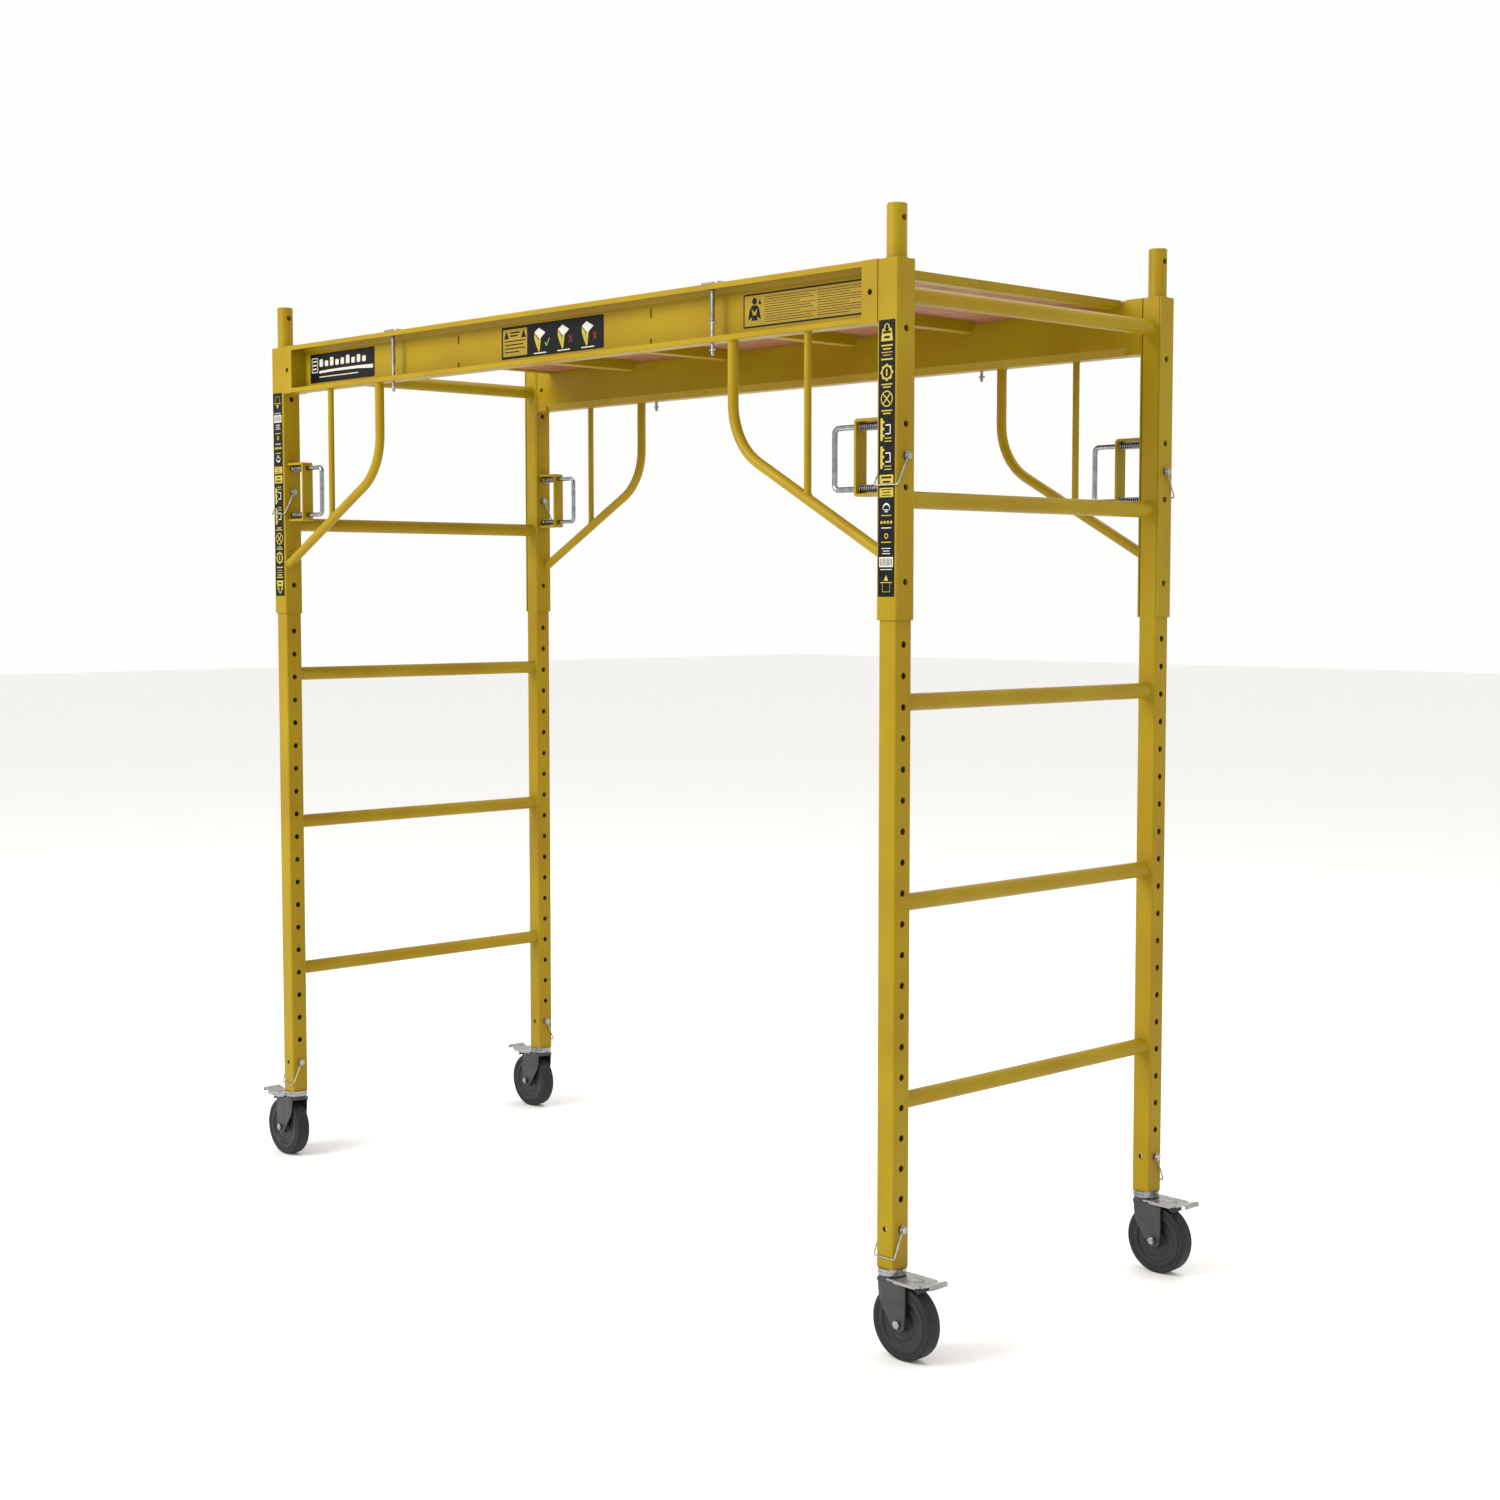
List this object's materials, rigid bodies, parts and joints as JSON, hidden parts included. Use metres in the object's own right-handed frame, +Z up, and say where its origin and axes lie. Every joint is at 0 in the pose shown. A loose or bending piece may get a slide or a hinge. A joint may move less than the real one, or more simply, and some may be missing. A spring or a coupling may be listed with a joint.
{
  "type": "frame scaffold section",
  "caption": "Rolling frame scaffold section: end frames on braked swivel casters, and a height-adjustable deck locked by spring rods and pins.",
  "frame": {"origin": "on the floor, under the middle of the bay", "axes": "+X along the bay from the left end frame to the right one, +Y across it from the near side to the far side, +Z up"},
  "size_m": [2.0364, 0.7524, 1.8886],
  "materials": {
    "yellow_paint": "gloss",
    "chrome": "polished",
    "zinc": "satin",
    "spring_steel": "satin",
    "plywood": "matt",
    "dark_paint": "satin",
    "wheel_polymer": "satin"
  },
  "bodies": {
    "end_frames": {"post_near_right": "yellow_paint", "post_near_left": "yellow_paint", "post_far_right": "yellow_paint", "post_far_left": "yellow_paint", "rungs": "yellow_paint", "coupling_pins": "yellow_paint", "caster_stems": "chrome", "caster_lock_pins": "zinc"},
    "platform": {"sleeve_near_right": "yellow_paint", "sleeve_near_left": "yellow_paint", "sleeve_far_right": "yellow_paint", "sleeve_far_left": "yellow_paint", "knee_braces_near": "yellow_paint", "knee_braces_far": "yellow_paint", "side_rail_near": "yellow_paint", "side_rail_far": "yellow_paint", "rail_brackets": "yellow_paint", "adjuster_straps": "yellow_paint", "deck_panel": "plywood", "deck_end_angles": "yellow_paint", "cross_members": "yellow_paint", "deck_screws": "zinc", "latch_springs": "spring_steel", "sleeve_lock_pins": "zinc", "adjuster_springs_near_right": "spring_steel", "adjuster_springs_near_left": "spring_steel", "adjuster_springs_far_right": "spring_steel", "adjuster_springs_far_left": "spring_steel"},
    "adjuster_near_right": {"adjuster_rod_near_right": "chrome"},
    "sleeve_bail_near_right": {"sleeve_bail_near_right": "zinc"},
    "caster_bail_near_right": {"caster_bail_near_right": "zinc"},
    "latch_near_right": {"latch_near_right": "zinc"},
    "caster_near_right": {"fork_near_right": "dark_paint", "caster_axle_near_right": "chrome"},
    "wheel_near_right": {"wheel_near_right": "wheel_polymer"},
    "brake_pedal_near_right": {"brake_pedal_near_right": "zinc"},
    "adjuster_near_left": {"adjuster_rod_near_left": "chrome"},
    "sleeve_bail_near_left": {"sleeve_bail_near_left": "zinc"},
    "caster_bail_near_left": {"caster_bail_near_left": "zinc"},
    "latch_near_left": {"latch_near_left": "zinc"},
    "caster_near_left": {"fork_near_left": "dark_paint", "caster_axle_near_left": "chrome"},
    "wheel_near_left": {"wheel_near_left": "wheel_polymer"},
    "brake_pedal_near_left": {"brake_pedal_near_left": "zinc"},
    "adjuster_far_right": {"adjuster_rod_far_right": "chrome"},
    "sleeve_bail_far_right": {"sleeve_bail_far_right": "zinc"},
    "caster_bail_far_right": {"caster_bail_far_right": "zinc"},
    "latch_far_right": {"latch_far_right": "zinc"},
    "caster_far_right": {"fork_far_right": "dark_paint", "caster_axle_far_right": "chrome"},
    "wheel_far_right": {"wheel_far_right": "wheel_polymer"},
    "brake_pedal_far_right": {"brake_pedal_far_right": "zinc"},
    "adjuster_far_left": {"adjuster_rod_far_left": "chrome"},
    "sleeve_bail_far_left": {"sleeve_bail_far_left": "zinc"},
    "caster_bail_far_left": {"caster_bail_far_left": "zinc"},
    "latch_far_left": {"latch_far_left": "zinc"},
    "caster_far_left": {"fork_far_left": "dark_paint", "caster_axle_far_left": "chrome"},
    "wheel_far_left": {"wheel_far_left": "wheel_polymer"},
    "brake_pedal_far_left": {"brake_pedal_far_left": "zinc"}
  },
  "joints": [
    {"name": "platform_height", "type": "slide", "parent": "end_frames", "child": "platform", "axis": [0, 0, 1], "range_m": [-0.9144, 0]},
    {"name": "adjuster_pull_near_right", "type": "slide", "parent": "platform", "child": "adjuster_near_right", "axis": [-1, 0, 0], "range_m": [0, 0.02], "stiffness_N_per_m": 1200, "springref_m": -0.02, "deforming": ["adjuster_springs_near_right"]},
    {"name": "sleeve_bail_swing_near_right", "type": "hinge", "parent": "platform", "child": "sleeve_bail_near_right", "pos_m": [0.9132, -0.34925, 1.4853], "axis": [-1, 0, 0], "range_deg": [0, 120]},
    {"name": "caster_bail_swing_near_right", "type": "hinge", "parent": "end_frames", "child": "caster_bail_near_right", "pos_m": [0.9132, -0.34925, 0.2153], "axis": [-1, 0, 0], "range_deg": [0, 120]},
    {"name": "latch_turn_near_right", "type": "hinge", "parent": "platform", "child": "latch_near_right", "pos_m": [0.486, -0.3595, 1.74], "axis": [0, 0, 1], "range_deg": [0, 90]},
    {"name": "caster_swivel_near_right", "type": "hinge", "parent": "end_frames", "child": "caster_near_right", "pos_m": [0.9132, -0.34925, 0.135], "axis": [0, 0, 1], "continuous": true},
    {"name": "wheel_roll_near_right", "type": "hinge", "parent": "caster_near_right", "child": "wheel_near_right", "pos_m": [0.9452, -0.34925, 0.0635], "axis": [0, 1, 0], "continuous": true},
    {"name": "brake_press_near_right", "type": "hinge", "parent": "caster_near_right", "child": "brake_pedal_near_right", "pos_m": [0.9432, -0.34925, 0.1255], "axis": [0, 1, 0], "range_deg": [0, 5]},
    {"name": "adjuster_pull_near_left", "type": "slide", "parent": "platform", "child": "adjuster_near_left", "axis": [1, 0, 0], "range_m": [0, 0.02], "stiffness_N_per_m": 1200, "springref_m": -0.02, "deforming": ["adjuster_springs_near_left"]},
    {"name": "sleeve_bail_swing_near_left", "type": "hinge", "parent": "platform", "child": "sleeve_bail_near_left", "pos_m": [-0.9132, -0.34925, 1.4853], "axis": [-1, 0, 0], "range_deg": [0, 120]},
    {"name": "caster_bail_swing_near_left", "type": "hinge", "parent": "end_frames", "child": "caster_bail_near_left", "pos_m": [-0.9132, -0.34925, 0.2153], "axis": [-1, 0, 0], "range_deg": [0, 120]},
    {"name": "latch_turn_near_left", "type": "hinge", "parent": "platform", "child": "latch_near_left", "pos_m": [-0.486, -0.3595, 1.74], "axis": [0, 0, 1], "range_deg": [0, 90]},
    {"name": "caster_swivel_near_left", "type": "hinge", "parent": "end_frames", "child": "caster_near_left", "pos_m": [-0.9132, -0.34925, 0.135], "axis": [0, 0, 1], "continuous": true},
    {"name": "wheel_roll_near_left", "type": "hinge", "parent": "caster_near_left", "child": "wheel_near_left", "pos_m": [-0.9452, -0.34925, 0.0635], "axis": [0, 1, 0], "continuous": true},
    {"name": "brake_press_near_left", "type": "hinge", "parent": "caster_near_left", "child": "brake_pedal_near_left", "pos_m": [-0.9432, -0.34925, 0.1255], "axis": [0, -1, 0], "range_deg": [0, 5]},
    {"name": "adjuster_pull_far_right", "type": "slide", "parent": "platform", "child": "adjuster_far_right", "axis": [-1, 0, 0], "range_m": [0, 0.02], "stiffness_N_per_m": 1200, "springref_m": -0.02, "deforming": ["adjuster_springs_far_right"]},
    {"name": "sleeve_bail_swing_far_right", "type": "hinge", "parent": "platform", "child": "sleeve_bail_far_right", "pos_m": [0.9132, 0.34925, 1.4853], "axis": [1, 0, 0], "range_deg": [0, 120]},
    {"name": "caster_bail_swing_far_right", "type": "hinge", "parent": "end_frames", "child": "caster_bail_far_right", "pos_m": [0.9132, 0.34925, 0.2153], "axis": [1, 0, 0], "range_deg": [0, 120]},
    {"name": "latch_turn_far_right", "type": "hinge", "parent": "platform", "child": "latch_far_right", "pos_m": [0.486, 0.3595, 1.74], "axis": [0, 0, 1], "range_deg": [0, 90]},
    {"name": "caster_swivel_far_right", "type": "hinge", "parent": "end_frames", "child": "caster_far_right", "pos_m": [0.9132, 0.34925, 0.135], "axis": [0, 0, 1], "continuous": true},
    {"name": "wheel_roll_far_right", "type": "hinge", "parent": "caster_far_right", "child": "wheel_far_right", "pos_m": [0.9452, 0.34925, 0.0635], "axis": [0, 1, 0], "continuous": true},
    {"name": "brake_press_far_right", "type": "hinge", "parent": "caster_far_right", "child": "brake_pedal_far_right", "pos_m": [0.9432, 0.34925, 0.1255], "axis": [0, 1, 0], "range_deg": [0, 5]},
    {"name": "adjuster_pull_far_left", "type": "slide", "parent": "platform", "child": "adjuster_far_left", "axis": [1, 0, 0], "range_m": [0, 0.02], "stiffness_N_per_m": 1200, "springref_m": -0.02, "deforming": ["adjuster_springs_far_left"]},
    {"name": "sleeve_bail_swing_far_left", "type": "hinge", "parent": "platform", "child": "sleeve_bail_far_left", "pos_m": [-0.9132, 0.34925, 1.4853], "axis": [1, 0, 0], "range_deg": [0, 120]},
    {"name": "caster_bail_swing_far_left", "type": "hinge", "parent": "end_frames", "child": "caster_bail_far_left", "pos_m": [-0.9132, 0.34925, 0.2153], "axis": [1, 0, 0], "range_deg": [0, 120]},
    {"name": "latch_turn_far_left", "type": "hinge", "parent": "platform", "child": "latch_far_left", "pos_m": [-0.486, 0.3595, 1.74], "axis": [0, 0, 1], "range_deg": [0, 90]},
    {"name": "caster_swivel_far_left", "type": "hinge", "parent": "end_frames", "child": "caster_far_left", "pos_m": [-0.9132, 0.34925, 0.135], "axis": [0, 0, 1], "continuous": true},
    {"name": "wheel_roll_far_left", "type": "hinge", "parent": "caster_far_left", "child": "wheel_far_left", "pos_m": [-0.9452, 0.34925, 0.0635], "axis": [0, 1, 0], "continuous": true},
    {"name": "brake_press_far_left", "type": "hinge", "parent": "caster_far_left", "child": "brake_pedal_far_left", "pos_m": [-0.9432, 0.34925, 0.1255], "axis": [0, -1, 0], "range_deg": [0, 5]}
  ]
}
